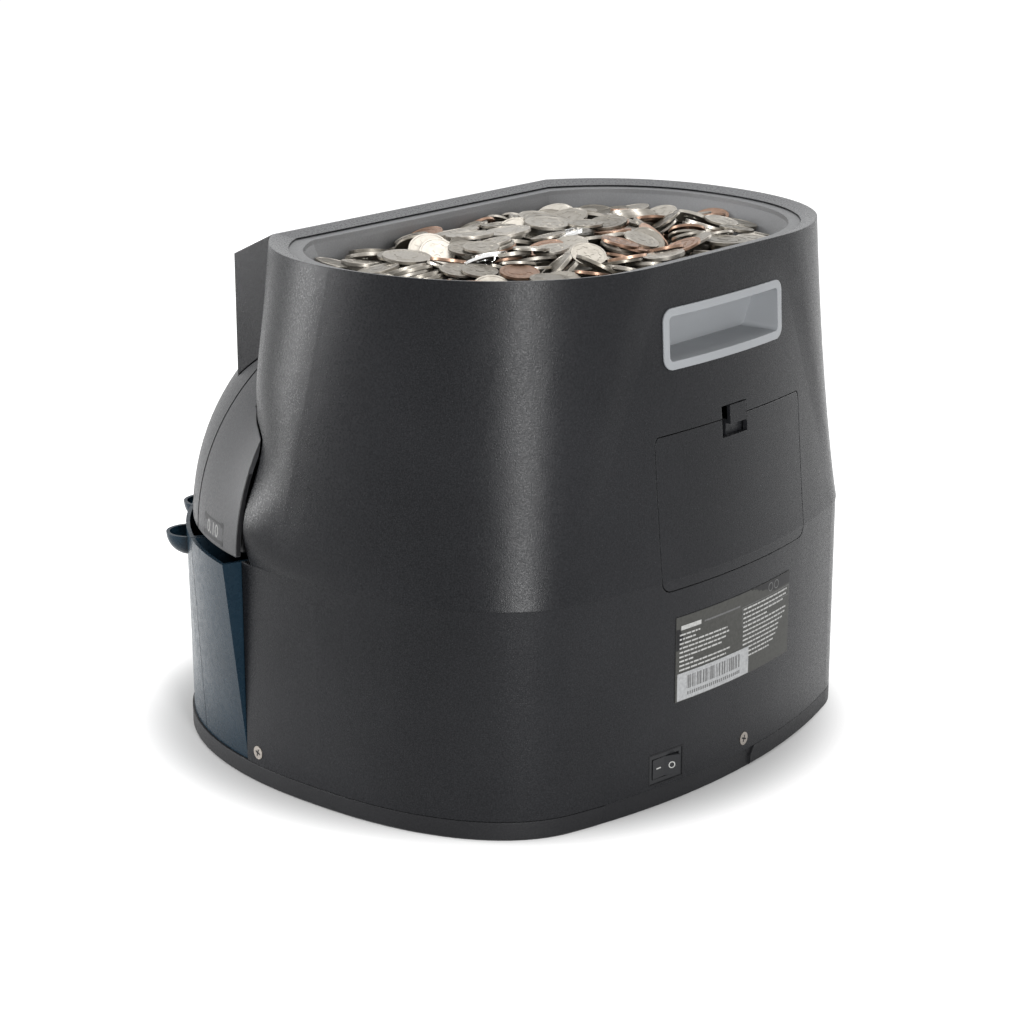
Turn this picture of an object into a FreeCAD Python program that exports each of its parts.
import FreeCAD, Part
import math
import os

V = FreeCAD.Vector

# ---- driving dimensions, in mm and degrees ----
# plan sizes are measured from the sorter's vertical axis, heights from the table
# casing in plan
BASE_HALF_W = 163.0        # half width of the foot of the casing
BASE_SIDE_Y = 3.0          # where the foot is widest
BASE_FRONT_REACH = 179.0   # from the widest line to the front of the foot
FRONT_POWER = 2.3          # 2 is an ellipse, more is fuller at the shoulders
BACK_Y = 134.0             # middle of the back
BACK_R = 373.8             # the shallow arc across the back
BACK_HALF = 110.0          # half length of that arc
CORNER_POWER = 2.3         # fullness of the rear corners
BLEND_ANGLE = 20.0         # where the swelling above the crease leaves the foot's oval
HIP_IN = 5.6               # how far the sides above the crease lie inside the dome's radius
HIP_Y = -20.0              # where the swollen outline turns straight
RIM_HALF_W = 151.0         # half width at the top
RIM_SIDE_Y = 5.0
RIM_BACK_Y = 121.3         # middle of the back at the top
RIM_BACK_HALF = 45.0
RIM_BLEND_ANGLE = 31.0
RIM_POWER = 2.25
CREST_Y = -74.0            # front edge of the top
CREST_HALF = 107.0
CREASE_RISE = 19.0         # height over which the casing widens above the crease
CREASE_LEDGE = 0.3         # fine overhang all round at the crease
CHEEK_SWELL = 4.0          # how far the casing swells out beside the dome
CHEEK_DIP = 6.0            # and how far it draws in above that, where the dome turns under it
CHEEK_DIP_Z = 172.0
CHEEK_DIP_HALF_H = 33.0
# heights
FOOT_H = 7.0               # underside of the base floor
SKIRT_Z = 0.5              # lower edge of the base skirt
CREASE_Z = 114.5
TOP_Z = 266.0
CONSOLE_FRONT_Y = -101.6
CONSOLE_TOP_Z = 253.0
CONSOLE_LOW_Z = 186.0
# walls and clearances
WALL = 2.8
GAP = 0.3                  # general gap between separate pieces
SEAT = 0.05                # gap under a face that is stuck or screwed down
SHAFT_GAP = 0.05           # radial running clearance of a shaft
FLOOR_T = 3.0
SKIRT_CHAMFER = 1.0
FEET_R = 10.0
FEET_SIDE_IN = 58.0        # middle of a foot from the side, the back and the front of the base
FEET_BACK_IN = 49.0
FEET_FRONT_IN = 61.0
PANEL_X1 = 95.0            # far edge of a shallow panel let into the back of the skirt, from the nick on
PANEL_SLANT = 5.0
PANEL_DEEP = 1.2
NICK_X = -16.0             # small triangular nick in the back of the skirt
NICK_HALF = 4.0
NICK_DEEP = 2.0
NICK_LOW_Z = 5.0
# dome over the sorter
DOME_R = 172.6
DOME_PROFILE_R = 118.8
DOME_PROFILE_Z = 117.0
DOME_BOTTOM_Z = 119.0
DOME_TOP_Z = 232.0
DOME_TRIM_Z = 160.0        # above it the casing comes out over the dome's ends
DOME_WALL = 2.6
LANES = 8
LANE_ANGLE = 18.6
SLIT_W = 2.0
SLIT_DEEP = 1.5
CHEEK_GAP = 2.4            # wide dark gap between the dome and the casing
CHEEK_RIB = 2.2            # rib inside the casing along that gap
CHEEK_RIB_DEEP = 30.0
CHEEK_RIB_TOP_Z = 190.0
# coin bins
LIP_R = 176.5
LIP_Z = 114.0
BIN_BACK_R = 92.0
BIN_WALL = 2.0
BIN_GAP = 0.6
BIN_FOOT_INSET = 1.0
END_TRIM = 2.2             # the end bins stop short of the dome's edge
GRIP_R = 12.3
GRIP_IN = 2.0              # how far the middle of a grip lies inside the lip, and below it
GRIP_DROP = 4.7
GRIP_WALL = 1.8
BAY_WALL = 2.5
# hopper
RIM_T = 3.0
RIM_LIP_W = 8.0            # the lip slopes in and down over this width
RIM_EDGE = 1.0             # flat edge left at its top
RIM_END_T = 0.7            # and its thickness at the end
MOUTH_INSET = 14.0
LEDGE_T = 2.2
BOWL_WALL = 2.2
BOWL_LOW_R = 74.0
# sorter
DISC_R = 70.0
DISC_T = 3.0
DISC_Z = 147.0
DISC_RUN_GAP = 0.8
DISC_HUB_R = 14.0
RAIL_R = 84.0
RAIL_TOP_Z = 158.0
EXIT_Z = 150.4
EXIT_H = 4.6
EXIT_W = 17.0
CHUTE_IN_R = 80.0
CHUTE_WALL = 3.0
CHUTE_OUT_R = 150.0
CHUTE_OUT_Z = 121.0
CHUTE_T = 2.4
CHUTE_IN_Z = 143.5
FIN_T = 2.0
FIN_TOP_Z = 146.0
SENSOR_W = 9.0
SENSOR_DEEP = 5.0
SENSOR_H = 5.0
DECK_R = 87.7
DECK_T = 3.0
SHAFT_R = 5.0
SHAFT_LOW_Z = 99.0
BEARING_R = 16.0
BEARING_FLANGE_R = 22.0
BEARING_FLANGE_T = 2.0
BEARING_LOW_Z = 98.0
MOTOR_Y = 58.0
MOTOR_R = 26.0
MOTOR_H = 58.0
MOTOR_SHAFT_R = 3.0
PULLEY_Z = 124.0
PULLEY_H = 11.0
PULLEY_RIM = 1.2
DISC_PULLEY_R = 27.0
MOTOR_PULLEY_R = 9.0
BELT_T = 1.5
BELT_W = 8.0
POST_R = 5.0
POST_RING_R = 76.0
POST_COUNT = 6
# back of the casing
HANDLE_W = 98.0
HANDLE_H = 29.4
HANDLE_Z = 230.2
HANDLE_RIM = 4.0
HANDLE_DEEP = 22.0
HANDLE_TOP_DEEP = 15.0
HANDLE_WALL = 2.0
HANDLE_PROUD = 0.8
HANDLE_CORNER = 6.0
HANDLE_HOLE_CORNER = 2.5
DOOR_X = -5.0
DOOR_W = 123.0
DOOR_Z = 109.5
DOOR_H = 75.5
DOOR_CORNER = 6.0
DOOR_GAP = 0.5
LATCH_X = -5.5
LATCH_W = 13.5
LATCH_H = 9.2
LATCH_T = 2.0
LATCH_PROUD = 0.2
LATCH_TAIL = 9.0           # how far the latch reaches down behind the door
NOTCH_X = -2.5
NOTCH_W = 21.0
NOTCH_LOW_Z = 176.0
NOTCH_TOP_Z = 191.5
LABEL_X = -2.0
LABEL_W = 98.0
LABEL_Z = 51.5
LABEL_H = 43.5
LABEL_T = 0.3
CODE_X = 17.7
CODE_W = 56.5
CODE_Z = 52.0
CODE_H = 14.0
CODE_T = 0.2
SWITCH_X = 52.0
SWITCH_Z = 20.3
SWITCH_W = 23.0
SWITCH_H = 15.6
SWITCH_SUNK = 1.6          # depth of the pocket that the switch's bezel lies in
SWITCH_BEZEL = 1.4         # width of the bezel round the switch's body
SWITCH_BEZEL_T = 1.0
SWITCH_DEEP = 14.0
SWITCH_WELL = 8.0
ROCKER_W = 18.0
ROCKER_H = 10.0
ROCKER_PIN_R = 1.0
ROCKER_PIN_L = 0.8
ROCKER_TILT = 9.0
ROCKER_RISE = 1.8
INLET_W = 24.0
INLET_H = 16.0
INLET_Z = 28.0
INLET_FLANGE = 2.5
INLET_FLANGE_T = 1.5
INLET_DEEP = 20.0
INLET_WELL = 12.0
INLET_SOCKET = 3.0         # wall round the socket
INLET_PIN_R = 1.2
# operator's console
KEY_SIDES = 3              # keys on each side of the window
KEY_W = 16.0
KEY_H = 10.0
KEY_CORNER = 2.0
KEY_ROUND = 0.6
KEY_PROUD = 1.6
KEY_PITCH = 21.0
KEY_FIRST_X = 46.0
KEY_TRAVEL = 1.2
KEY_Z = 239.0
KEY_FLANGE = 1.0
KEY_FLANGE_T = 1.2
WINDOW_W = 62.0
WINDOW_H = 18.0
WINDOW_SINK = 0.4
DISPLAY_T = 6.0
BOARD_T = 1.6
BOARD_HALF_W = 98.0
BOARD_LOW_Z = 233.0
BOARD_TOP_Z = 254.0
BOARD_POST_R = 3.0
BOARD_POST_X = 78.0
TACT_W = 6.0
# power supply on the floor
SUPPLY_W = 70.0
SUPPLY_D = 30.0
SUPPLY_Y = 107.0
SUPPLY_POST_H = 6.0
SUPPLY_POST_R = 3.0
TRANSFORMER_W = 40.0
TRANSFORMER_D = 26.0
TRANSFORMER_H = 30.0
SCREW_HEAD_R = 3.4
SCREW_HEAD_T = 1.6
SCREW_PROUD = 0.3
SCREW_SHANK_R = 1.5
SCREW_L = 9.0
SCREW_Z = 17.0
BACK_SCREW_X = -9.0
SIDE_SCREW_IN = 9.8        # from the front edge of the casing's side

# ---- derived places ----
HALF_SPREAD = LANES * LANE_ANGLE / 2
GRIP_ANGLE = LANE_ANGLE / 2
CHEEK_ANGLE = HALF_SPREAD + math.degrees(CHEEK_GAP / DOME_R)
BAY_ANGLE = HALF_SPREAD - END_TRIM
LABEL_STACK = LABEL_T + CODE_T + 2 * SEAT
REAR_REACH = BACK_Y + LABEL_STACK
FRONT_REACH = (LIP_R - GRIP_IN) * math.cos(math.radians(GRIP_ANGLE)) + GRIP_R
AXIS_Y = (FRONT_REACH - REAR_REACH) / 2   # the sorter's axis, with the middle of the part at the origin
FLOOR_TOP = FOOT_H + FLOOR_T
CASE_Z = FLOOR_TOP + GAP
DECK_Z = DOME_BOTTOM_Z - DECK_T
RAIL_IN_R = DISC_R + DISC_RUN_GAP
LEDGE_TOP_Z = TOP_Z - RIM_T - GAP
PULLEY_MID_Z = PULLEY_Z + PULLEY_H / 2
BACK_SAG = BACK_R - math.sqrt(BACK_R ** 2 - BACK_HALF ** 2)
HIP_HALF_W = DOME_R - HIP_IN
KEY_FACE_IN_Y = CONSOLE_FRONT_Y + WALL
BOARD_Y = KEY_FACE_IN_Y + GAP + KEY_FLANGE_T + DISPLAY_T + GAP
LANE_EDGES = [-HALF_SPREAD + LANE_ANGLE * i for i in range(LANES + 1)]
UP = V(0, 0, 1)
RUN_STEPS = 8              # spans of each smooth stretch of an outline
CROWN_STEPS = 8            # spans of the upper casing's height
HALVINGS = 40              # steps of a search by halving


# ---- helpers ----
def at(x, y, z):
    """A point given from the sorter's axis, in the part's own frame."""
    return V(x, AXIS_Y + y, z)


def polar(r, angle, z):
    """A point at radius r, angle degrees round from straight ahead, towards +X."""
    a = math.radians(angle)
    return at(r * math.sin(a), -r * math.cos(a), z)


def box(x0, x1, y0, y1, z0, z1):
    return Part.makeBox(x1 - x0, y1 - y0, z1 - z0, at(x0, y0, z0))


def cylinder(r, x, y, z0, z1):
    return Part.makeCylinder(r, z1 - z0, at(x, y, z0))


def tube(r_in, r_out, z0, z1):
    return cylinder(r_out, 0, 0, z0, z1).cut(cylinder(r_in, 0, 0, z0 - 1, z1 + 1))


def radial_box(angle, r0, r1, t0, t1, z0, z1):
    """A box along a radius: r0 to r1 outwards, t0 to t1 across, towards larger angles."""
    shape = Part.makeBox(r1 - r0, t1 - t0, z1 - z0, V(r0, t0, z0))
    shape.rotate(V(0, 0, 0), UP, angle - 90)
    shape.translate(at(0, 0, 0))
    return shape


def plate(x0, x1, z0, z1, y0, y1, corner):
    """A plate facing along Y with round corners."""
    block = box(x0, x1, y0, y1, z0, z1)
    edges = [e for e in block.Edges if abs(e.tangentAt(e.FirstParameter).y) > 0.5]
    return block.makeFillet(corner, edges)


def profile_x(points, x0, x1):
    """An outline of (y, z) points carried along X."""
    wire = Part.makePolygon([at(x0, y, z) for y, z in points + points[:1]])
    return Part.Face(wire).extrude(V(x1 - x0, 0, 0))


def upright(points, y0, y1):
    """An outline of (x, z) points carried along Y."""
    wire = Part.makePolygon([at(x, y0, z) for x, z in points + points[:1]])
    return Part.Face(wire).extrude(V(0, y1 - y0, 0))


def revolved(edges, half_angle):
    """A closed outline drawn on the XZ plane, turned to cover half_angle each side of straight ahead."""
    shape = Part.Face(Part.Wire(edges)).revolve(at(0, 0, 0), UP, 2 * half_angle)
    shape.rotate(at(0, 0, 0), UP, -90 - half_angle)
    return shape


def arc3(a, b, c):
    return Part.Arc(a, b, c).toShape()


def line(a, b):
    return Part.makeLine(a, b)


def polyline(points):
    return [line(a, b) for a, b in zip(points, points[1:])]


def save(shape, name):
    solids = shape.Solids
    whole = solids[0] if len(solids) == 1 else Part.makeCompound(solids)
    whole.exportStep("parts/" + name + ".step")


def fuse(shapes):
    return shapes[0].multiFuse(shapes[1:])


def front_wedge(half_angle, clear, z0, z1):
    """Everything in front of the two planes at plus and minus half_angle, moved out by clear."""
    a = math.radians(half_angle)
    far = 3 * LIP_R
    x, y = far * math.sin(a), clear / math.sin(a) - far * math.cos(a)
    points = [(0, clear / math.sin(a)), (x, y), (x, -far), (-x, -far), (-x, y)]
    wire = Part.makePolygon([at(px, py, z0) for px, py in points + points[:1]])
    return Part.Face(wire).extrude(V(0, 0, z1 - z0))


# ---- outlines of the casing ----
# A run is one smooth stretch of an outline on the +X side: its (x, y) points and its end directions.
def signed_power(value, power):
    return math.copysign(abs(value) ** power, value)


def oval_run(cx, cy, rx, ry, from_angle, to_angle, power=2.0):
    """Part of an oval, between two angles from its X end. A power above 2 makes it fuller."""
    turns = [math.radians(from_angle + (to_angle - from_angle) * i / RUN_STEPS) for i in range(RUN_STEPS + 1)]
    way = 1 if to_angle > from_angle else -1
    side = 2 - 2 / power
    ends = [(-way * rx * signed_power(math.sin(t), side), way * ry * signed_power(math.cos(t), side))
            for t in (turns[0], turns[-1])]
    points = [(cx + rx * signed_power(math.cos(t), 2 / power), cy + ry * signed_power(math.sin(t), 2 / power))
              for t in turns]
    return points, ends[0], ends[1]


def blend_run(start, start_way, end, end_way):
    """A smooth S between two points that leaves and arrives in the given directions."""
    long = math.dist(start, end)
    m0, m1 = [[c * long / math.hypot(*way) for c in way] for way in (start_way, end_way)]
    points = []
    for i in range(RUN_STEPS + 1):
        u = i / RUN_STEPS
        h = (2 * u ** 3 - 3 * u ** 2 + 1, u ** 3 - 2 * u ** 2 + u, 3 * u ** 2 - 2 * u ** 3, u ** 3 - u ** 2)
        points.append(tuple(h[0] * start[k] + h[1] * m0[k] + h[2] * end[k] + h[3] * m1[k] for k in (0, 1)))
    return points, start_way, end_way


def mix(a, b, t):
    return tuple(p + (q - p) * t for p, q in zip(a, b))


def mix_way(a, b, t):
    return mix([c / math.hypot(*a) for c in a], [c / math.hypot(*b) for c in b], t)


def mix_run(a, b, t):
    return [mix(p, q, t) for p, q in zip(a[0], b[0])], mix_way(a[1], b[1], t), mix_way(a[2], b[2], t)


def run_edge(run, z, side):
    points, start_way, end_way = run
    curve = Part.BSplineCurve()
    curve.interpolate(Points=[at(side * x, y, z) for x, y in points],
                      InitialTangent=V(side * start_way[0], start_way[1], 0),
                      FinalTangent=V(side * end_way[0], end_way[1], 0))
    return curve.toShape()


def closed_outline(back, runs, z, front=True):
    """One wire from the back edge, the runs on both sides and, where they don't meet, a front edge."""
    edges = [back] + [run_edge(run, z, side) for side in (1, -1) for run in runs]
    if front:
        x, y = runs[-1][0][-1]
        edges.append(line(at(x, y, z), at(-x, y, z)))
    return Part.Wire(Part.__sortEdges__(edges))


def back_edge(half, end_y, mid_y, z):
    ends = [at(s * half, end_y, z) for s in (-1, 1)]
    return arc3(ends[0], at(0, mid_y, z), ends[1])


def back_y(x):
    """Where the lower back lies at x."""
    return BACK_Y - BACK_R + math.sqrt(BACK_R ** 2 - x ** 2)


def corner_run(inset, to_angle, from_angle=None):
    """The rear corner of the foot, which leaves the arc of the back at that arc's own slope."""
    end_y, slope = BACK_Y - BACK_SAG - BASE_SIDE_Y - inset, BACK_HALF / (BACK_R - BACK_SAG)
    low, high = 0.0, BACK_HALF
    for _ in range(HALVINGS):
        shift = (low + high) / 2
        rx = BASE_HALF_W - inset - BACK_HALF + shift
        x = shift / rx
        y = (1 - x ** CORNER_POWER) ** (1 / CORNER_POWER)
        too_flat = end_y / y / rx * (x / y) ** (CORNER_POWER - 1) < slope
        low, high = (shift, high) if too_flat else (low, shift)
    start = math.degrees(math.acos(x ** (CORNER_POWER / 2))) if from_angle is None else from_angle
    return oval_run(BACK_HALF - shift, BASE_SIDE_Y, rx, end_y / y, start, to_angle, CORNER_POWER)


def foot_outline(z, inset=0.0):
    """The lower casing: a shallow arc behind, full corners and a long oval front."""
    runs = [corner_run(inset, BLEND_ANGLE), corner_run(inset, 0, BLEND_ANGLE),
            oval_run(0, BASE_SIDE_Y, BASE_HALF_W - inset, BASE_FRONT_REACH - inset, 0, -90, FRONT_POWER)]
    return closed_outline(back_edge(BACK_HALF, BACK_Y - BACK_SAG - inset, BACK_Y - inset, z), runs, z, False)


def foot_reach(angle, inset=0.0):
    """Distance from the sorter's axis to the front of the foot, along an angle."""
    s, c = abs(math.sin(math.radians(angle))), math.cos(math.radians(angle))
    low, high = 0.0, BASE_HALF_W + BASE_FRONT_REACH
    for _ in range(HALVINGS):
        r = (low + high) / 2
        x, y = r * s / (BASE_HALF_W - inset), (r * c + BASE_SIDE_Y) / (BASE_FRONT_REACH - inset)
        low, high = (low, r) if x ** FRONT_POWER + y ** FRONT_POWER > 1 else (r, high)
    return low


def foot_side(y):
    """Half width of the front part of the foot at y, and how fast it narrows forwards."""
    along = (BASE_SIDE_Y - y) / BASE_FRONT_REACH
    across = (1 - along ** FRONT_POWER) ** (1 / FRONT_POWER)
    return BASE_HALF_W * across, BASE_HALF_W / BASE_FRONT_REACH * (along / across) ** (FRONT_POWER - 1)


def hip_front_y():
    return -math.sqrt(DOME_R ** 2 - HIP_HALF_W ** 2)


def hip_runs(inset, rise):
    """The outline above the crease: the foot's own at rise 0, swollen out to the hip at rise 1."""
    corner = corner_run(inset, BLEND_ANGLE)
    stops = []
    for y in (HIP_Y, hip_front_y()):
        x, slope = foot_side(y)
        stops.append((x + (HIP_HALF_W - x) * rise - inset, y, (-slope * (1 - rise), -1)))
    (bend_x, bend_y, bend_way), (front_x, front_y, front_way) = stops
    return [corner, blend_run(corner[0][-1], corner[2], (bend_x, bend_y), bend_way),
            blend_run((bend_x, bend_y), bend_way, (front_x, front_y + inset), front_way)]


def rim_runs(inset):
    half, crest, front = RIM_HALF_W - inset, CREST_HALF - inset, CREST_Y + inset
    rx, ry = half - RIM_BACK_HALF, RIM_BACK_Y - RIM_SIDE_Y - inset
    chord = math.atan2(half - crest, RIM_SIDE_Y - front)
    radius = math.hypot(half - crest, RIM_SIDE_Y - front) / (2 * math.sin(chord))
    return [oval_run(RIM_BACK_HALF, RIM_SIDE_Y, rx, ry, 90, RIM_BLEND_ANGLE, RIM_POWER),
            oval_run(RIM_BACK_HALF, RIM_SIDE_Y, rx, ry, RIM_BLEND_ANGLE, 0, RIM_POWER),
            oval_run(half - radius, RIM_SIDE_Y, radius, radius, 0, -math.degrees(2 * chord))]


def swell(run, z):
    """The cheek beside the dome: the front side of the crown stands out low down and draws in above."""
    t = (z - CREASE_Z) / (TOP_Z - CREASE_Z)
    top = CHEEK_SWELL * t * (1 - t) ** 3 / (0.25 * 0.75 ** 3)
    off = abs(z - CHEEK_DIP_Z) / CHEEK_DIP_HALF_H
    if off < 1:
        top -= CHEEK_DIP * math.cos(off * math.pi / 2) ** 2
    points = []
    for i, (x, y) in enumerate(run[0]):
        u = i / RUN_STEPS
        points.append((x + top * u * u * (3 - 2 * u), y))
    return points, run[1], run[2]


def crown_outline(z, inset=0.0):
    """The upper casing's outline, which changes from the hip's to the rim's with height."""
    t = (z - CREASE_Z) / (TOP_Z - CREASE_Z)
    rise = min(1, (z - CREASE_Z) / CREASE_RISE)
    inset -= CREASE_LEDGE * (1 - rise)
    runs = [mix_run(a, b, t) for a, b in zip(hip_runs(inset, rise), rim_runs(inset))]
    runs[-1] = swell(runs[-1], z)
    half, sag = BACK_HALF + (RIM_BACK_HALF - BACK_HALF) * t, BACK_SAG * (1 - t)
    runs[0] = (runs[0][0], (1, -math.tan(2 * math.atan(sag / half))), runs[0][2])
    mid_y = BACK_Y + (RIM_BACK_Y - BACK_Y) * t - inset
    return closed_outline(back_edge(half, mid_y - sag, mid_y + SEAT * t, z), runs, z)


# ---- main volumes ----
def foot_block(inset, z0, z1):
    return Part.Face(foot_outline(z0, inset)).extrude(V(0, 0, z1 - z0))


def crown_block(inset):
    levels = [CREASE_Z + (TOP_Z - CREASE_Z) * i / CROWN_STEPS for i in range(CROWN_STEPS + 1)]
    return Part.makeLoft([crown_outline(z, inset) for z in levels], True, False)


def crown_front_y(z):
    t = (z - CREASE_Z) / (TOP_Z - CREASE_Z)
    return hip_front_y() + (CREST_Y - hip_front_y()) * t


def crown_back_y(x, z):
    t = (z - CREASE_Z) / (TOP_Z - CREASE_Z)
    return back_y(x) + (RIM_BACK_Y - back_y(x)) * t


def console_top_z(y):
    rise = (TOP_Z - CONSOLE_TOP_Z) / (CREST_Y - CONSOLE_FRONT_Y)
    return CONSOLE_TOP_Z + rise * (y - CONSOLE_FRONT_Y)


def console_block(grow, tuck):
    """The console's outer form, grown all round, and reaching tuck into the crown."""
    y0 = CONSOLE_FRONT_Y - grow
    points = [(y0, CONSOLE_LOW_Z), (y0, console_top_z(y0) + grow), (CREST_Y, TOP_Z + grow),
              (CREST_Y + tuck, TOP_Z + grow), (crown_front_y(CONSOLE_LOW_Z) + tuck, CONSOLE_LOW_Z)]
    return profile_x(points, -CREST_HALF - grow, CREST_HALF + grow)


def console_room():
    """The hollow of the console, between its front and the wall behind it."""
    y0 = CONSOLE_FRONT_Y + WALL
    slope = math.atan2(TOP_Z - CONSOLE_TOP_Z, CREST_Y - CONSOLE_FRONT_Y)
    drop = WALL / math.cos(slope)
    z0, z1 = CONSOLE_LOW_Z - 1, console_top_z(CREST_Y) - drop
    points = [(y0, z0), (y0, console_top_z(y0) - drop),
              (crown_front_y(z1) - GAP, z1), (crown_front_y(z0) - GAP, z0)]
    return profile_x(points, -CREST_HALF + WALL, CREST_HALF - WALL)


def dome_r(z, grow=0.0):
    return DOME_R - DOME_PROFILE_R + math.sqrt((DOME_PROFILE_R + grow) ** 2 - (z - DOME_PROFILE_Z) ** 2)


def dome_arc(grow, z0, z1):
    zm = (z0 + z1) / 2
    return arc3(at(dome_r(z0, grow), 0, z0), at(dome_r(zm, grow), 0, zm), at(dome_r(z1, grow), 0, z1))


def dome_core(grow, z0, z1, half_angle):
    """The solid under the dome's surface, grown."""
    a, b = dome_r(z0, grow), dome_r(z1, grow)
    edges = [dome_arc(grow, z0, z1)] + polyline([at(b, 0, z1), at(0, 0, z1), at(0, 0, z0), at(a, 0, z0)])
    return revolved(edges, half_angle)


# ---- base ----
def base_tray():
    knee = SKIRT_Z + SKIRT_CHAMFER
    low = Part.makeLoft([foot_outline(SKIRT_Z, SKIRT_CHAMFER), foot_outline(knee)], True, True)
    body = low.fuse(foot_block(0, knee, FLOOR_TOP))
    hollow = foot_block(WALL + SKIRT_CHAMFER, SKIRT_Z - 1, FOOT_H)
    reach, low_z, top_z = BACK_Y + 1, SKIRT_Z - 1, FLOOR_TOP + 1
    corners = [(NICK_X, low_z), (PANEL_X1, low_z), (PANEL_X1 - PANEL_SLANT, top_z), (NICK_X, top_z)]
    panel = upright(corners, reach, reach - 2 * BACK_SAG)
    panel = panel.cut(foot_block(PANEL_DEEP, low_z - 1, top_z + 1))
    nick = upright([(NICK_X - NICK_HALF, top_z), (NICK_X + NICK_HALF, top_z), (NICK_X, NICK_LOW_Z)],
                   reach, reach - 1 - NICK_DEEP)
    return body.cut([hollow, panel, nick])


def rubber_feet():
    ahead, behind = BASE_SIDE_Y - BASE_FRONT_REACH + FEET_FRONT_IN, BACK_Y - FEET_BACK_IN
    spots = [(s * (BASE_HALF_W - FEET_SIDE_IN), y) for s in (1, -1) for y in (behind, ahead)]
    feet = []
    for x, y in spots:
        foot = cylinder(FEET_R, x, y, 0, FOOT_H)
        feet.append(foot.makeChamfer(1.0, [e for e in foot.Edges if e.BoundBox.ZMax < 1]))
    return Part.makeCompound(feet)


# ---- casing ----
def cheek_ribs():
    crown = crown_block(WALL / 4)
    ribs = []
    for side in (1, -1):
        across = (0, CHEEK_RIB) if side > 0 else (-CHEEK_RIB, 0)
        slab = radial_box(side * CHEEK_ANGLE, DOME_R - CHEEK_RIB_DEEP, LIP_R, across[0], across[1],
                          CREASE_Z, CHEEK_RIB_TOP_Z)
        ribs.append(slab.common(crown))
    return ribs


def door_pivot():
    return BACK_Y, DOOR_Z


def door_radius():
    """From the hinge line to the upper edge of the door."""
    y, z = door_pivot()
    return math.hypot(DOOR_H, y - crown_back_y(DOOR_X, z + DOOR_H))


def door_block(grow):
    """Where the door lies, seen from behind, its top rounded about the hinge so that it swings clear."""
    y, z = door_pivot()
    half = DOOR_W / 2 + grow
    flat = plate(DOOR_X - half, DOOR_X + half, z - grow, z + DOOR_H + 1 + grow,
                 RIM_BACK_Y - 4 * WALL, BACK_Y + 2, DOOR_CORNER)
    arc = Part.makeCylinder(door_radius() + grow, 2 * half + 2, at(DOOR_X - half - 1, y, z), V(1, 0, 0))
    return flat.common(arc)


def notch_block():
    half = NOTCH_W / 2
    return box(NOTCH_X - half, NOTCH_X + half, RIM_BACK_Y - 4 * WALL, BACK_Y + 2, NOTCH_LOW_Z, NOTCH_TOP_Z)


def handle_hole(grow, z_grow=0.0):
    half_w, half_h = HANDLE_W / 2 - HANDLE_RIM + grow, HANDLE_H / 2 - HANDLE_RIM + grow
    face = crown_back_y(0, HANDLE_Z)
    front = face + 2 * HANDLE_RIM
    cut = plate(-half_w, half_w, HANDLE_Z - half_h, HANDLE_Z + half_h, face - HANDLE_DEEP - grow, front,
                HANDLE_HOLE_CORNER + grow)
    slope = profile_x([(face - HANDLE_DEEP - grow, HANDLE_Z - half_h), (front, HANDLE_Z - half_h),
                       (front, HANDLE_Z + half_h), (face - HANDLE_TOP_DEEP - grow, HANDLE_Z + half_h)],
                      -half_w, half_w)
    return cut.common(slope)


def on_back(shape, x, z):
    """Carry a shape drawn at the origin, facing +Y, to the lower back at x."""
    shape = shape.copy()
    shape.rotate(V(0, 0, 0), UP, -math.degrees(math.asin(x / BACK_R)))
    shape.translate(at(x, back_y(x), z))
    return shape


def local_box(half_x, y0, y1, half_z):
    return Part.makeBox(2 * half_x, y1 - y0, 2 * half_z, V(-half_x, y0, -half_z))


def key_places():
    for side in (-1, 1):
        for i in range(KEY_SIDES):
            yield side * (KEY_FIRST_X + KEY_PITCH * i)


def console_cuts():
    y0, y1 = CONSOLE_FRONT_Y - 1, KEY_FACE_IN_Y + 1
    cuts = [console_plate(x, KEY_W + 2 * GAP, KEY_H + 2 * GAP, y0, y1) for x in key_places()]
    return cuts + [console_plate(0, WINDOW_W + 2 * GAP, WINDOW_H + 2 * GAP, y0, y1)]


def screw_spots():
    """Each screw's place on the casing and the way it faces."""
    side_y = SIDE_SCREW_IN - foot_reach(BAY_ANGLE) * math.cos(math.radians(BAY_ANGLE))
    side_x, slope = foot_side(side_y)
    tilt = math.atan(slope)
    spots = [(at(BACK_SCREW_X, back_y(BACK_SCREW_X), SCREW_Z), V(BACK_SCREW_X / BACK_R, 1, 0).normalize())]
    for side in (1, -1):
        spots.append((at(side * side_x, side_y, SCREW_Z), V(side * math.cos(tilt), -math.sin(tilt), 0)))
    return spots


def screw(spot, way, grow):
    """A pan head screw with its head let into the casing, or, grown, the hole for it."""
    top = SCREW_PROUD + 10 * grow
    head_t = SCREW_HEAD_T + top - SCREW_PROUD + grow
    head = Part.makeCylinder(SCREW_HEAD_R + grow, head_t, spot + way * top, way * -1)
    shank = Part.makeCylinder(SCREW_SHANK_R + grow, SCREW_L + grow, spot + way * SCREW_PROUD, way * -1)
    return head.fuse(shank)


def switch_holes():
    """The pocket for the bezel and the hole behind it."""
    half_w, half_h = SWITCH_W / 2 + GAP, SWITCH_H / 2 + GAP
    pocket = local_box(half_w, -SWITCH_SUNK, WALL, half_h)
    half_w, half_h = [size / 2 - SWITCH_BEZEL + SEAT for size in (SWITCH_W, SWITCH_H)]
    hole = local_box(half_w, -SWITCH_DEEP, WALL, half_h)
    return [on_back(shape, SWITCH_X, SWITCH_Z) for shape in (pocket, hole)]


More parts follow.
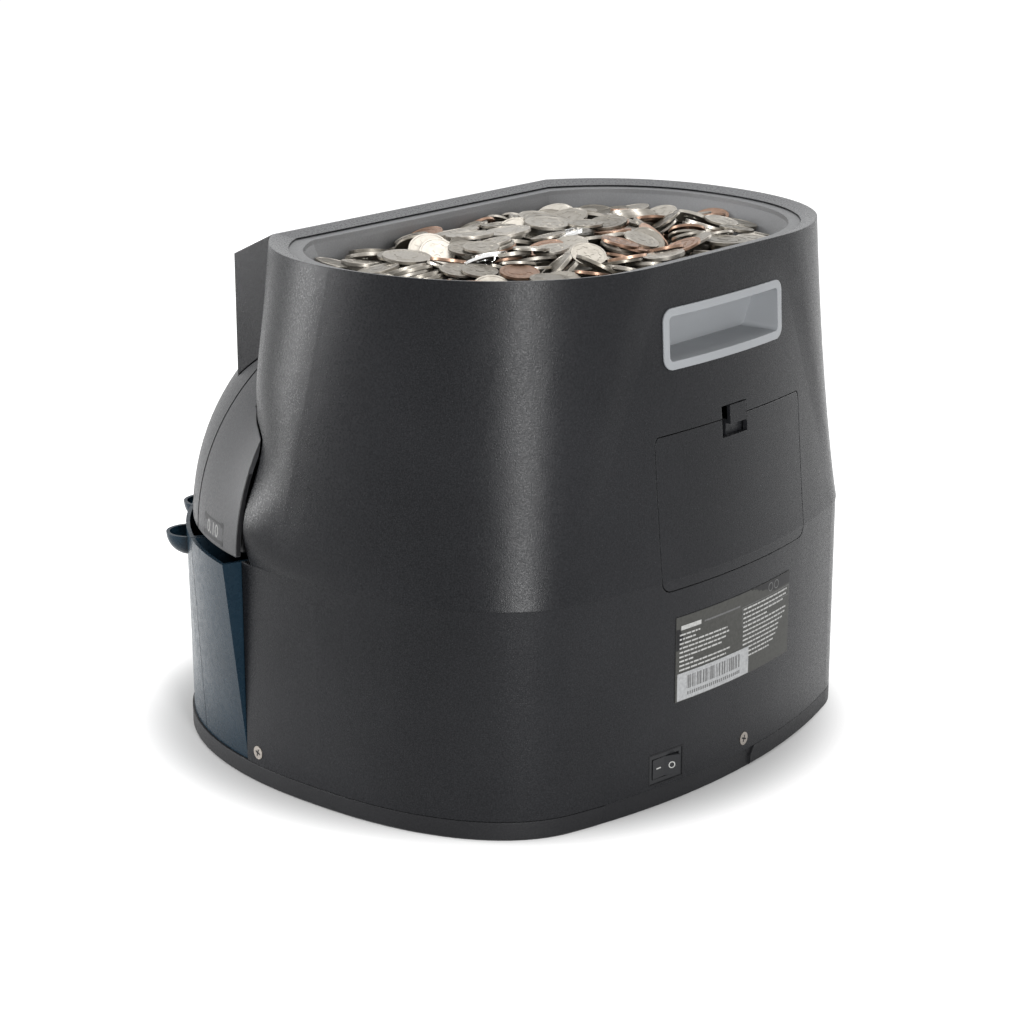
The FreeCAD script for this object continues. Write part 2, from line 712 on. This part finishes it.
def inlet_hole():
    half_w, half_h = INLET_W / 2 + SEAT, INLET_H / 2 + SEAT
    return box(-BASE_HALF_W - WALL, -BASE_HALF_W + 2 * WALL, BASE_SIDE_Y - half_w, BASE_SIDE_Y + half_w,
               INLET_Z - half_h, INLET_Z + half_h)


def mouth_block():
    """The opening in the top, with a lip that slopes down to it."""
    end_z = TOP_Z - RIM_T + RIM_END_T
    slope = Part.makeLoft([rim_outline(end_z, RIM_LIP_W), crown_outline(TOP_Z, RIM_EDGE)], True, True)
    return slope.fuse(Part.Face(rim_outline(end_z, RIM_LIP_W)).extrude(V(0, 0, -RIM_T)))


def main_housing():
    crown = crown_block(0)
    body = fuse([foot_block(0, CASE_Z, CREASE_Z), crown, console_block(0, WALL)])
    ceiling = box(-LIP_R, LIP_R, -LIP_R, LIP_R, CREASE_Z + WALL, TOP_Z - RIM_T)
    body = body.cut([foot_block(WALL, CASE_Z - 1, CREASE_Z + WALL + GAP), crown_block(WALL).common(ceiling),
                     console_room(), mouth_block()])
    body = fuse([body] + cheek_ribs())
    cuts = [dome_core(GAP, CREASE_Z - GAP, DOME_TOP_Z + GAP, CHEEK_ANGLE),
            front_wedge(BAY_ANGLE, BIN_GAP, CASE_Z - 1, CREASE_Z),
            door_block(DOOR_GAP), notch_block(), handle_hole(HANDLE_WALL + GAP),
            inlet_hole(), bowl_block(BOWL_WALL + GAP)]
    cuts += switch_holes() + console_cuts()
    cuts += [screw(spot, way, SEAT) for spot, way in screw_spots()]
    return body.cut(cuts)


def front_dome():
    a, b = dome_r(DOME_BOTTOM_Z), dome_r(DOME_TOP_Z)
    low, high = dome_r(DOME_BOTTOM_Z, -DOME_WALL), dome_r(DOME_TOP_Z, -DOME_WALL)
    edges = [dome_arc(0, DOME_BOTTOM_Z, DOME_TOP_Z), dome_arc(-DOME_WALL, DOME_BOTTOM_Z, DOME_TOP_Z),
             line(at(b, 0, DOME_TOP_Z), at(high, 0, DOME_TOP_Z)),
             line(at(low, 0, DOME_BOTTOM_Z), at(a, 0, DOME_BOTTOM_Z))]
    shell = revolved(Part.__sortEdges__(edges), HALF_SPREAD)
    slabs = [radial_box(e, DOME_R / 3, DOME_R + 1, -SLIT_W / 2, SLIT_W / 2, DOME_BOTTOM_Z - 1, DOME_TOP_Z + 1)
             for e in LANE_EDGES[1:-1]]
    core = dome_core(-SLIT_DEEP, DOME_BOTTOM_Z - 2, DOME_TOP_Z + 2, 90)
    slits = Part.makeCompound(slabs).cut(core)
    above = box(-LIP_R, LIP_R, -LIP_R, 0, DOME_TRIM_Z, TOP_Z)
    trimmed = shell.cut([crown_block(-GAP).common(above), console_block(GAP, WALL)])
    return trimmed.cut(slits)


# ---- bins ----
def bin_reach(angle, z):
    foot = foot_reach(angle, BIN_FOOT_INSET)
    return foot + (LIP_R - foot) * (z - CASE_Z) / (LIP_Z - CASE_Z)


def bin_wire(a0, a1, z, inset):
    side_gap = BIN_GAP / 2 + inset
    r0 = BIN_BACK_R + inset
    turn_in = math.degrees(math.asin(side_gap / r0))
    turn_out = math.degrees(math.asin(side_gap / LIP_R))
    mid = (a0 + a1) / 2
    inner = [polar(r0, a, z) for a in (a0 + turn_in, mid, a1 - turn_in)]
    outer = [polar(bin_reach(a, z) - inset, a, z) for a in (a0 + turn_out, mid, a1 - turn_out)]
    return Part.Wire([arc3(*inner), line(inner[2], outer[2]), arc3(*outer[::-1]), line(outer[0], inner[0])])


def bin_ends(index):
    a0 = LANE_EDGES[index] + (END_TRIM if index == 0 else 0)
    a1 = LANE_EDGES[index + 1] - (END_TRIM if index == LANES - 1 else 0)
    return a0, a1


def coin_bin(index):
    a0, a1 = bin_ends(index)
    outside = Part.makeLoft([bin_wire(a0, a1, CASE_Z, 0), bin_wire(a0, a1, LIP_Z, 0)], True, True)
    inside = Part.makeLoft([bin_wire(a0, a1, CASE_Z + BIN_WALL, BIN_WALL),
                            bin_wire(a0, a1, LIP_Z + BIN_WALL, BIN_WALL)], True, True)
    body = outside.cut(inside)
    if index in (0, LANES - 1):
        return body
    centre = polar(LIP_R - GRIP_IN, (a0 + a1) / 2, LIP_Z - GRIP_DROP)
    ball = Part.makeSphere(GRIP_R, centre, UP, -90, 0, 360)
    ball = ball.cut(Part.makeSphere(GRIP_R - GRIP_WALL, centre))
    return body.fuse(ball.cut(outside)).removeSplitter()


def bay_frame():
    """The upright wall behind the bins, with a cheek at each end."""
    top = DECK_Z - GAP
    back = tube(BIN_BACK_R - BAY_WALL - GAP, BIN_BACK_R - GAP, FLOOR_TOP, top)
    back = back.common(front_wedge(BAY_ANGLE, BIN_GAP + BAY_WALL, FLOOR_TOP - 1, top + 1))
    cheeks = []
    for side in (1, -1):
        across = sorted((side * BIN_GAP, side * (BIN_GAP + BAY_WALL)))
        slab = radial_box(side * BAY_ANGLE, BIN_BACK_R - BAY_WALL - GAP, LIP_R, across[0], across[1],
                          FLOOR_TOP, CREASE_Z - GAP)
        cheeks.append(slab.common(foot_block(WALL + GAP, FLOOR_TOP, CREASE_Z)))
    return fuse([back] + cheeks).removeSplitter()


# ---- sorter ----
def chassis_deck():
    deck = cylinder(DECK_R, 0, 0, DECK_Z, DECK_Z + DECK_T)
    return deck.cut([cylinder(BEARING_R + GAP, 0, 0, DECK_Z - 1, DECK_Z + DECK_T + 1),
                     cylinder(MOTOR_SHAFT_R + 2, 0, MOTOR_Y, DECK_Z - 1, DECK_Z + DECK_T + 1)])


def deck_posts():
    step = 360 / POST_COUNT
    spots = [polar(POST_RING_R, step / 2 + step * i, FLOOR_TOP) for i in range(POST_COUNT)]
    return Part.makeCompound([Part.makeCylinder(POST_R, DECK_Z - FLOOR_TOP, p) for p in spots])


def chute_ring():
    deck_top = DECK_Z + DECK_T
    wall_r = CHUTE_IN_R + CHUTE_WALL
    wall = tube(CHUTE_IN_R, wall_r, deck_top, DISC_Z)
    root_r = CHUTE_IN_R + CHUTE_WALL / 2
    slope = [(root_r, CHUTE_IN_Z), (CHUTE_OUT_R, CHUTE_OUT_Z), (CHUTE_OUT_R, CHUTE_OUT_Z + CHUTE_T),
             (root_r, CHUTE_IN_Z + CHUTE_T), (root_r, CHUTE_IN_Z)]
    apron = revolved(polyline([at(r, 0, z) for r, z in slope]), BAY_ANGLE)
    fin_r = dome_r(FIN_TOP_Z, -DOME_WALL) - GAP
    fins = []
    for i, edge in enumerate(LANE_EDGES):
        shift = END_TRIM * ((i == 0) - (i == LANES))
        fins.append(radial_box(edge + shift, root_r, fin_r, -FIN_T / 2, FIN_T / 2, deck_top, FIN_TOP_Z))
    cut = front_wedge(BAY_ANGLE, FIN_T, deck_top, FIN_TOP_Z)
    shape = fuse([wall, apron] + [f.common(cut) for f in fins])
    return shape.removeSplitter()


def sorting_rail():
    rail = tube(RAIL_IN_R, RAIL_R, DISC_Z, RAIL_TOP_Z)
    exits = [radial_box(edge + LANE_ANGLE / 2, RAIL_IN_R - 3, RAIL_R + 3, -EXIT_W / 2, EXIT_W / 2,
                        EXIT_Z, EXIT_Z + EXIT_H) for edge in LANE_EDGES[:-1]]
    return rail.cut(exits)


def lane_sensors():
    low = EXIT_Z + EXIT_H
    r0, half = RAIL_R + SEAT, SENSOR_W / 2
    angles = [edge + LANE_ANGLE / 2 for edge in LANE_EDGES[:-1]]
    return Part.makeCompound([radial_box(angle, r0, r0 + SENSOR_DEEP, -half, half, low, low + SENSOR_H)
                              for angle in angles])


def sorting_disc():
    disc = cylinder(DISC_R, 0, 0, DISC_Z, DISC_Z + DISC_T)
    hub = cylinder(DISC_HUB_R, 0, 0, PULLEY_Z + PULLEY_H, DISC_Z)
    knob = Part.makeCone(DISC_HUB_R, DISC_HUB_R / 2, DISC_T * 2, at(0, 0, DISC_Z + DISC_T))
    return fuse([disc, hub, knob]).cut(cylinder(SHAFT_R, 0, 0, PULLEY_Z, DISC_Z)).removeSplitter()


def disc_shaft():
    return cylinder(SHAFT_R, 0, 0, SHAFT_LOW_Z, DISC_Z)


def pulley(r, bore, x, y):
    """A belt pulley with a rim at each end."""
    rim_t = (PULLEY_H - BELT_W) / 2 - GAP
    body = [cylinder(r, x, y, PULLEY_Z, PULLEY_Z + PULLEY_H)]
    for z in (PULLEY_Z, PULLEY_Z + PULLEY_H - rim_t):
        body.append(cylinder(r + PULLEY_RIM, x, y, z, z + rim_t))
    return fuse(body).cut(cylinder(bore, x, y, PULLEY_Z - 1, PULLEY_Z + PULLEY_H + 1)).removeSplitter()


def bearing_housing():
    top = PULLEY_Z - GAP
    deck_top = DECK_Z + DECK_T
    body = fuse([cylinder(BEARING_R, 0, 0, BEARING_LOW_Z, top - 1),
                 cylinder(BEARING_FLANGE_R, 0, 0, deck_top, deck_top + BEARING_FLANGE_T),
                 cylinder(2 * SHAFT_R, 0, 0, top - 2, top)])
    return body.cut(cylinder(SHAFT_R + SHAFT_GAP, 0, 0, BEARING_LOW_Z - 1, top + 1)).removeSplitter()


def motor():
    top = DECK_Z - GAP
    body = cylinder(MOTOR_R, 0, MOTOR_Y, top - MOTOR_H, top)
    foot = cylinder(MOTOR_R / 2, 0, MOTOR_Y, FLOOR_TOP, top - MOTOR_H)
    bore = cylinder(MOTOR_SHAFT_R + SHAFT_GAP, 0, MOTOR_Y, top - MOTOR_H / 2, top + 1)
    return body.fuse(foot).cut(bore).removeSplitter()


def motor_shaft():
    return cylinder(MOTOR_SHAFT_R, 0, MOTOR_Y, DECK_Z - MOTOR_H / 2, PULLEY_Z + PULLEY_H)


def stadium_band(r_big, r_small, z0, z1):
    """The area inside a belt round both pulleys."""
    turn = math.asin((r_big - r_small) / MOTOR_Y)
    c, s = math.cos(turn), math.sin(turn)
    right = [at(r_big * c, r_big * s, z0), at(r_small * c, MOTOR_Y + r_small * s, z0)]
    left = [at(-r_big * c, r_big * s, z0), at(-r_small * c, MOTOR_Y + r_small * s, z0)]
    edges = [line(right[0], right[1]), arc3(right[1], at(0, MOTOR_Y + r_small, z0), left[1]),
             line(left[1], left[0]), arc3(left[0], at(0, -r_big, z0), right[0])]
    return Part.Face(Part.Wire(edges)).extrude(V(0, 0, z1 - z0))


def drive_belt():
    z0, z1 = PULLEY_MID_Z - BELT_W / 2, PULLEY_MID_Z + BELT_W / 2
    outer = stadium_band(DISC_PULLEY_R + GAP + BELT_T, MOTOR_PULLEY_R + GAP + BELT_T, z0, z1)
    return outer.cut(stadium_band(DISC_PULLEY_R + GAP, MOTOR_PULLEY_R + GAP, z0 - 1, z1 + 1))


# ---- hopper ----
def ring_wire(z, r, guide):
    """A circle cut at the same directions as the corners of a guide outline, edge for edge."""
    centre = at(0, 0, z)
    edges = []
    for edge in guide.OrderedEdges:
        ends = [edge.valueAt(edge.FirstParameter), edge.valueAt(edge.LastParameter)]
        mid = edge.valueAt((edge.FirstParameter + edge.LastParameter) / 2)
        spots = []
        for p in (ends[0], mid, ends[1]):
            way = V(p.x - centre.x, p.y - centre.y, 0).normalize()
            spots.append(centre + way * r)
        edges.append(arc3(*spots))
    return Part.Wire(Part.__sortEdges__(edges))


def rim_outline(z, inset):
    """The top's outline, drawn at another height."""
    wire = crown_outline(TOP_Z, inset)
    wire.translate(V(0, 0, z - TOP_Z))
    return wire


def funnel(inset, r, z0, z1):
    """A funnel from the mouth's outline at z1 down to a circle at z0."""
    top = rim_outline(z1, inset)
    return Part.makeLoft([ring_wire(z0, r, top), top], True, True)


def bowl_block(grow):
    """The solid inside the bowl's inner face, grown."""
    return funnel(MOUTH_INSET - grow, BOWL_LOW_R + grow, RAIL_TOP_Z + SEAT, LEDGE_TOP_Z - LEDGE_T)


def hopper_bowl():
    low = LEDGE_TOP_Z - LEDGE_T
    ledge = Part.Face(rim_outline(low, RIM_LIP_W - WALL)).extrude(V(0, 0, LEDGE_T))
    mouth = Part.Face(rim_outline(low, MOUTH_INSET)).extrude(V(0, 0, LEDGE_T))
    return bowl_block(BOWL_WALL).fuse(ledge).cut([bowl_block(0), mouth])


# ---- back of the casing ----
def rear_handle():
    half_w, half_h = HANDLE_W / 2, HANDLE_H / 2
    face = crown_back_y(0, HANDLE_Z)
    frame = plate(-half_w, half_w, HANDLE_Z - half_h, HANDLE_Z + half_h,
                  face - 2 * HANDLE_RIM, face + 2 * HANDLE_RIM, HANDLE_CORNER)
    proud = crown_block(-HANDLE_PROUD)
    rim = frame.common(proud).cut(crown_block(-SEAT))
    pocket = handle_hole(HANDLE_WALL).common(proud)
    return rim.fuse(pocket).cut(handle_hole(0))


def shell_of_back():
    """The casing's wall between its outer and inner faces, above and below the crease."""
    upper = crown_block(0).cut(crown_block(WALL))
    lower = foot_block(0, CASE_Z, CREASE_Z).cut(foot_block(WALL, CASE_Z, CREASE_Z))
    return upper.fuse(lower)


def service_door():
    door = shell_of_back().common(door_block(0))
    return door.cut(notch_block())


def door_latch():
    """A tab that fills the top of the notch and slides down, on a tongue behind the door."""
    x0, x1 = LATCH_X - LATCH_W / 2, LATCH_X + LATCH_W / 2
    z1 = NOTCH_TOP_Z - 2 * GAP
    z0 = z1 - LATCH_H
    high, low = [crown_back_y(LATCH_X, z) + LATCH_PROUD for z in (z1, z0)]
    tab = profile_x([(low - LATCH_T, z0), (low, z0), (high, z1), (high - LATCH_T, z1)], x0, x1)
    behind = crown_back_y(x0, NOTCH_LOW_Z) - WALL - GAP
    web = box(x0, x1, behind - LATCH_T, low - LATCH_T / 2, z0, z0 + LATCH_T)
    tongue = box(x0, x1, behind - LATCH_T, behind, NOTCH_LOW_Z - LATCH_TAIL, z0 + LATCH_T)
    return fuse([tab, web, tongue]).removeSplitter()


def back_plate(x, w, z, h, low, high):
    block = box(x - w / 2, x + w / 2, BACK_Y - 2 * BACK_SAG, BACK_Y + 2, z, z + h)
    return foot_block(-high, z - 1, z + h + 1).cut(foot_block(-low, z - 2, z + h + 2)).common(block)


def rating_label():
    return back_plate(LABEL_X, LABEL_W, LABEL_Z, LABEL_H, SEAT, SEAT + LABEL_T)


def code_label():
    low = 2 * SEAT + LABEL_T
    return back_plate(CODE_X, CODE_W, CODE_Z, CODE_H, low, low + CODE_T)


def switch_body():
    low = SEAT - SWITCH_SUNK
    top = low + SWITCH_BEZEL_T
    body = local_box(SWITCH_W / 2 - SWITCH_BEZEL, -SWITCH_DEEP, top, SWITCH_H / 2 - SWITCH_BEZEL)
    bezel = local_box(SWITCH_W / 2, low, top, SWITCH_H / 2)
    well = local_box(ROCKER_W / 2 + GAP, -SWITCH_WELL, WALL, ROCKER_H / 2 + GAP)
    return on_back(bezel.fuse(body).cut([well, rocker_pin(SHAFT_GAP)]).removeSplitter(), SWITCH_X, SWITCH_Z)


def rocker_pin(grow):
    """The pin that the rocker tilts on, grown."""
    half = ROCKER_H / 2 + ROCKER_PIN_L + grow
    return Part.makeCylinder(ROCKER_PIN_R + grow, 2 * half, V(0, -SWITCH_WELL / 2, -half), UP)


def switch_rocker():
    """A shallow V seen from above, stored with its +X side pressed in."""
    half = ROCKER_W / 2 - 2 * GAP
    y = -SWITCH_WELL / 2
    middle = SWITCH_BEZEL_T - SWITCH_SUNK
    points = [(-half, middle + ROCKER_RISE), (0, middle), (half, middle + ROCKER_RISE),
              (half * 0.8, y - 1), (-half * 0.8, y - 1)]
    wire = Part.makePolygon([V(px, py, -ROCKER_H / 2) for px, py in points + points[:1]])
    shape = Part.Face(wire).extrude(V(0, 0, ROCKER_H))
    shape.rotate(V(0, y, 0), UP, -ROCKER_TILT)
    return on_back(shape.fuse(rocker_pin(0)), SWITCH_X, SWITCH_Z)


def power_inlet():
    """A two-pole inlet on the side that faces away."""
    y0, y1 = BASE_SIDE_Y - INLET_W / 2, BASE_SIDE_Y + INLET_W / 2
    z0, z1 = INLET_Z - INLET_H / 2, INLET_Z + INLET_H / 2
    face = -BASE_HALF_W
    out = face - INLET_FLANGE_T
    body = box(out, face + INLET_DEEP, y0, y1, z0, z1)
    flange = box(out, face + 1, y0 - INLET_FLANGE, y1 + INLET_FLANGE, z0 - INLET_FLANGE, z1 + INLET_FLANGE)
    flange = flange.cut(foot_block(-SEAT, z0 - INLET_H, z1 + INLET_H))
    well = box(out - 1, face + INLET_WELL, y0 + INLET_SOCKET, y1 - INLET_SOCKET,
               z0 + INLET_SOCKET, z1 - INLET_SOCKET)
    roots = [at(face + INLET_WELL, BASE_SIDE_Y + s * INLET_W / 6, INLET_Z) for s in (-1, 1)]
    pins = [Part.makeCylinder(INLET_PIN_R, INLET_WELL, root, V(-1, 0, 0)) for root in roots]
    return fuse([flange, body]).cut(well).multiFuse(pins).removeSplitter()


# ---- console ----
def console_plate(x, w, h, y0, y1):
    """A round-cornered plate on the console's front, centred at x on the row of keys."""
    return plate(x - w / 2, x + w / 2, KEY_Z - h / 2, KEY_Z + h / 2, y0, y1, KEY_CORNER)


def flanged_insert(x, w, h, front_y):
    """What shows through the console's front, with a flange that stays behind it."""
    back = KEY_FACE_IN_Y + GAP
    wide = 2 * (KEY_FLANGE + GAP)
    cap = console_plate(x, w, h, front_y, back + KEY_FLANGE_T)
    return cap.fuse(console_plate(x, w + wide, h + wide, back, back + KEY_FLANGE_T))


def key(x):
    shape = flanged_insert(x, KEY_W, KEY_H, CONSOLE_FRONT_Y - KEY_PROUD)
    face_y = at(0, CONSOLE_FRONT_Y - KEY_PROUD, 0).y
    return shape.makeFillet(KEY_ROUND, [e for e in shape.Edges if e.BoundBox.YMax < face_y + SEAT])


def display_window():
    return flanged_insert(0, WINDOW_W, WINDOW_H, CONSOLE_FRONT_Y + WINDOW_SINK)


def display_module():
    y0 = KEY_FACE_IN_Y + GAP + KEY_FLANGE_T + SEAT
    return box(-WINDOW_W / 2 + WALL, WINDOW_W / 2 - WALL, y0, BOARD_Y, BOARD_LOW_Z + 1, KEY_Z + WINDOW_H / 2)


def main_board():
    return box(-BOARD_HALF_W, BOARD_HALF_W, BOARD_Y, BOARD_Y + BOARD_T, BOARD_LOW_Z, BOARD_TOP_Z)


def key_switches():
    """Push switches on the board, a little more than the travel behind each key."""
    y0 = KEY_FACE_IN_Y + 2 * GAP + KEY_FLANGE_T + KEY_TRAVEL
    half = TACT_W / 2
    blocks = [box(x - half, x + half, y0, BOARD_Y, KEY_Z - half, KEY_Z + half) for x in key_places()]
    return Part.makeCompound(blocks)


def board_posts():
    posts = []
    crown = crown_block(-GAP - SEAT)
    for x in (-BOARD_POST_X, 0, BOARD_POST_X):
        z = BOARD_TOP_Z - 2 * BOARD_POST_R
        post = Part.makeCylinder(BOARD_POST_R, 60, at(x, BOARD_Y + BOARD_T, z), V(0, 1, 0))
        posts.append(post.cut(crown))
    return Part.makeCompound([p.Solids[0] for p in posts])


# ---- power supply ----
def supply_posts():
    x, y = SUPPLY_W / 2 - 2 * SUPPLY_POST_R, SUPPLY_D / 2 - 2 * SUPPLY_POST_R
    spots = [(sx * x, SUPPLY_Y + sy * y) for sx in (1, -1) for sy in (1, -1)]
    top = FLOOR_TOP + SUPPLY_POST_H
    return Part.makeCompound([cylinder(SUPPLY_POST_R, px, py, FLOOR_TOP, top) for px, py in spots])


def supply_board():
    z = FLOOR_TOP + SUPPLY_POST_H
    return box(-SUPPLY_W / 2, SUPPLY_W / 2, SUPPLY_Y - SUPPLY_D / 2, SUPPLY_Y + SUPPLY_D / 2, z, z + BOARD_T)


def transformer():
    z = FLOOR_TOP + SUPPLY_POST_H + BOARD_T
    half_w, half_d = TRANSFORMER_W / 2, TRANSFORMER_D / 2
    core = box(-half_w, half_w, SUPPLY_Y - half_d / 2, SUPPLY_Y + half_d / 2, z, z + TRANSFORMER_H)
    coil = box(-half_w * 0.7, half_w * 0.7, SUPPLY_Y - half_d, SUPPLY_Y + half_d, z, z + TRANSFORMER_H * 0.8)
    return core.fuse(coil).removeSplitter()


def housing_screws():
    return Part.makeCompound([screw(spot, way, 0) for spot, way in screw_spots()])


def build():
    os.makedirs("parts", exist_ok=True)
    pieces = {
        "base_tray": base_tray(),
        "rubber_feet": rubber_feet(),
        "main_housing": main_housing(),
        "front_dome": front_dome(),
        "bay_frame": bay_frame(),
        "chassis_deck": chassis_deck(),
        "deck_posts": deck_posts(),
        "chute_ring": chute_ring(),
        "sorting_rail": sorting_rail(),
        "lane_sensors": lane_sensors(),
        "sorting_disc": sorting_disc(),
        "disc_shaft": disc_shaft(),
        "disc_pulley": pulley(DISC_PULLEY_R, SHAFT_R, 0, 0),
        "bearing_housing": bearing_housing(),
        "motor": motor(),
        "motor_shaft": motor_shaft(),
        "motor_pulley": pulley(MOTOR_PULLEY_R, MOTOR_SHAFT_R, 0, MOTOR_Y),
        "drive_belt": drive_belt(),
        "hopper_bowl": hopper_bowl(),
        "rear_handle": rear_handle(),
        "service_door": service_door(),
        "door_latch": door_latch(),
        "rating_label": rating_label(),
        "code_label": code_label(),
        "switch_body": switch_body(),
        "switch_rocker": switch_rocker(),
        "power_inlet": power_inlet(),
        "display_window": display_window(),
        "display_module": display_module(),
        "main_board": main_board(),
        "key_switches": key_switches(),
        "board_posts": board_posts(),
        "supply_board": supply_board(),
        "supply_posts": supply_posts(),
        "transformer": transformer(),
        "housing_screws": housing_screws(),
    }
    for i in range(LANES):
        pieces["coin_bin_%d" % (i + 1)] = coin_bin(i)
    for i, x in enumerate(key_places()):
        pieces["key_%d" % (i + 1)] = key(x)
    for name, shape in pieces.items():
        save(shape, name)


build()
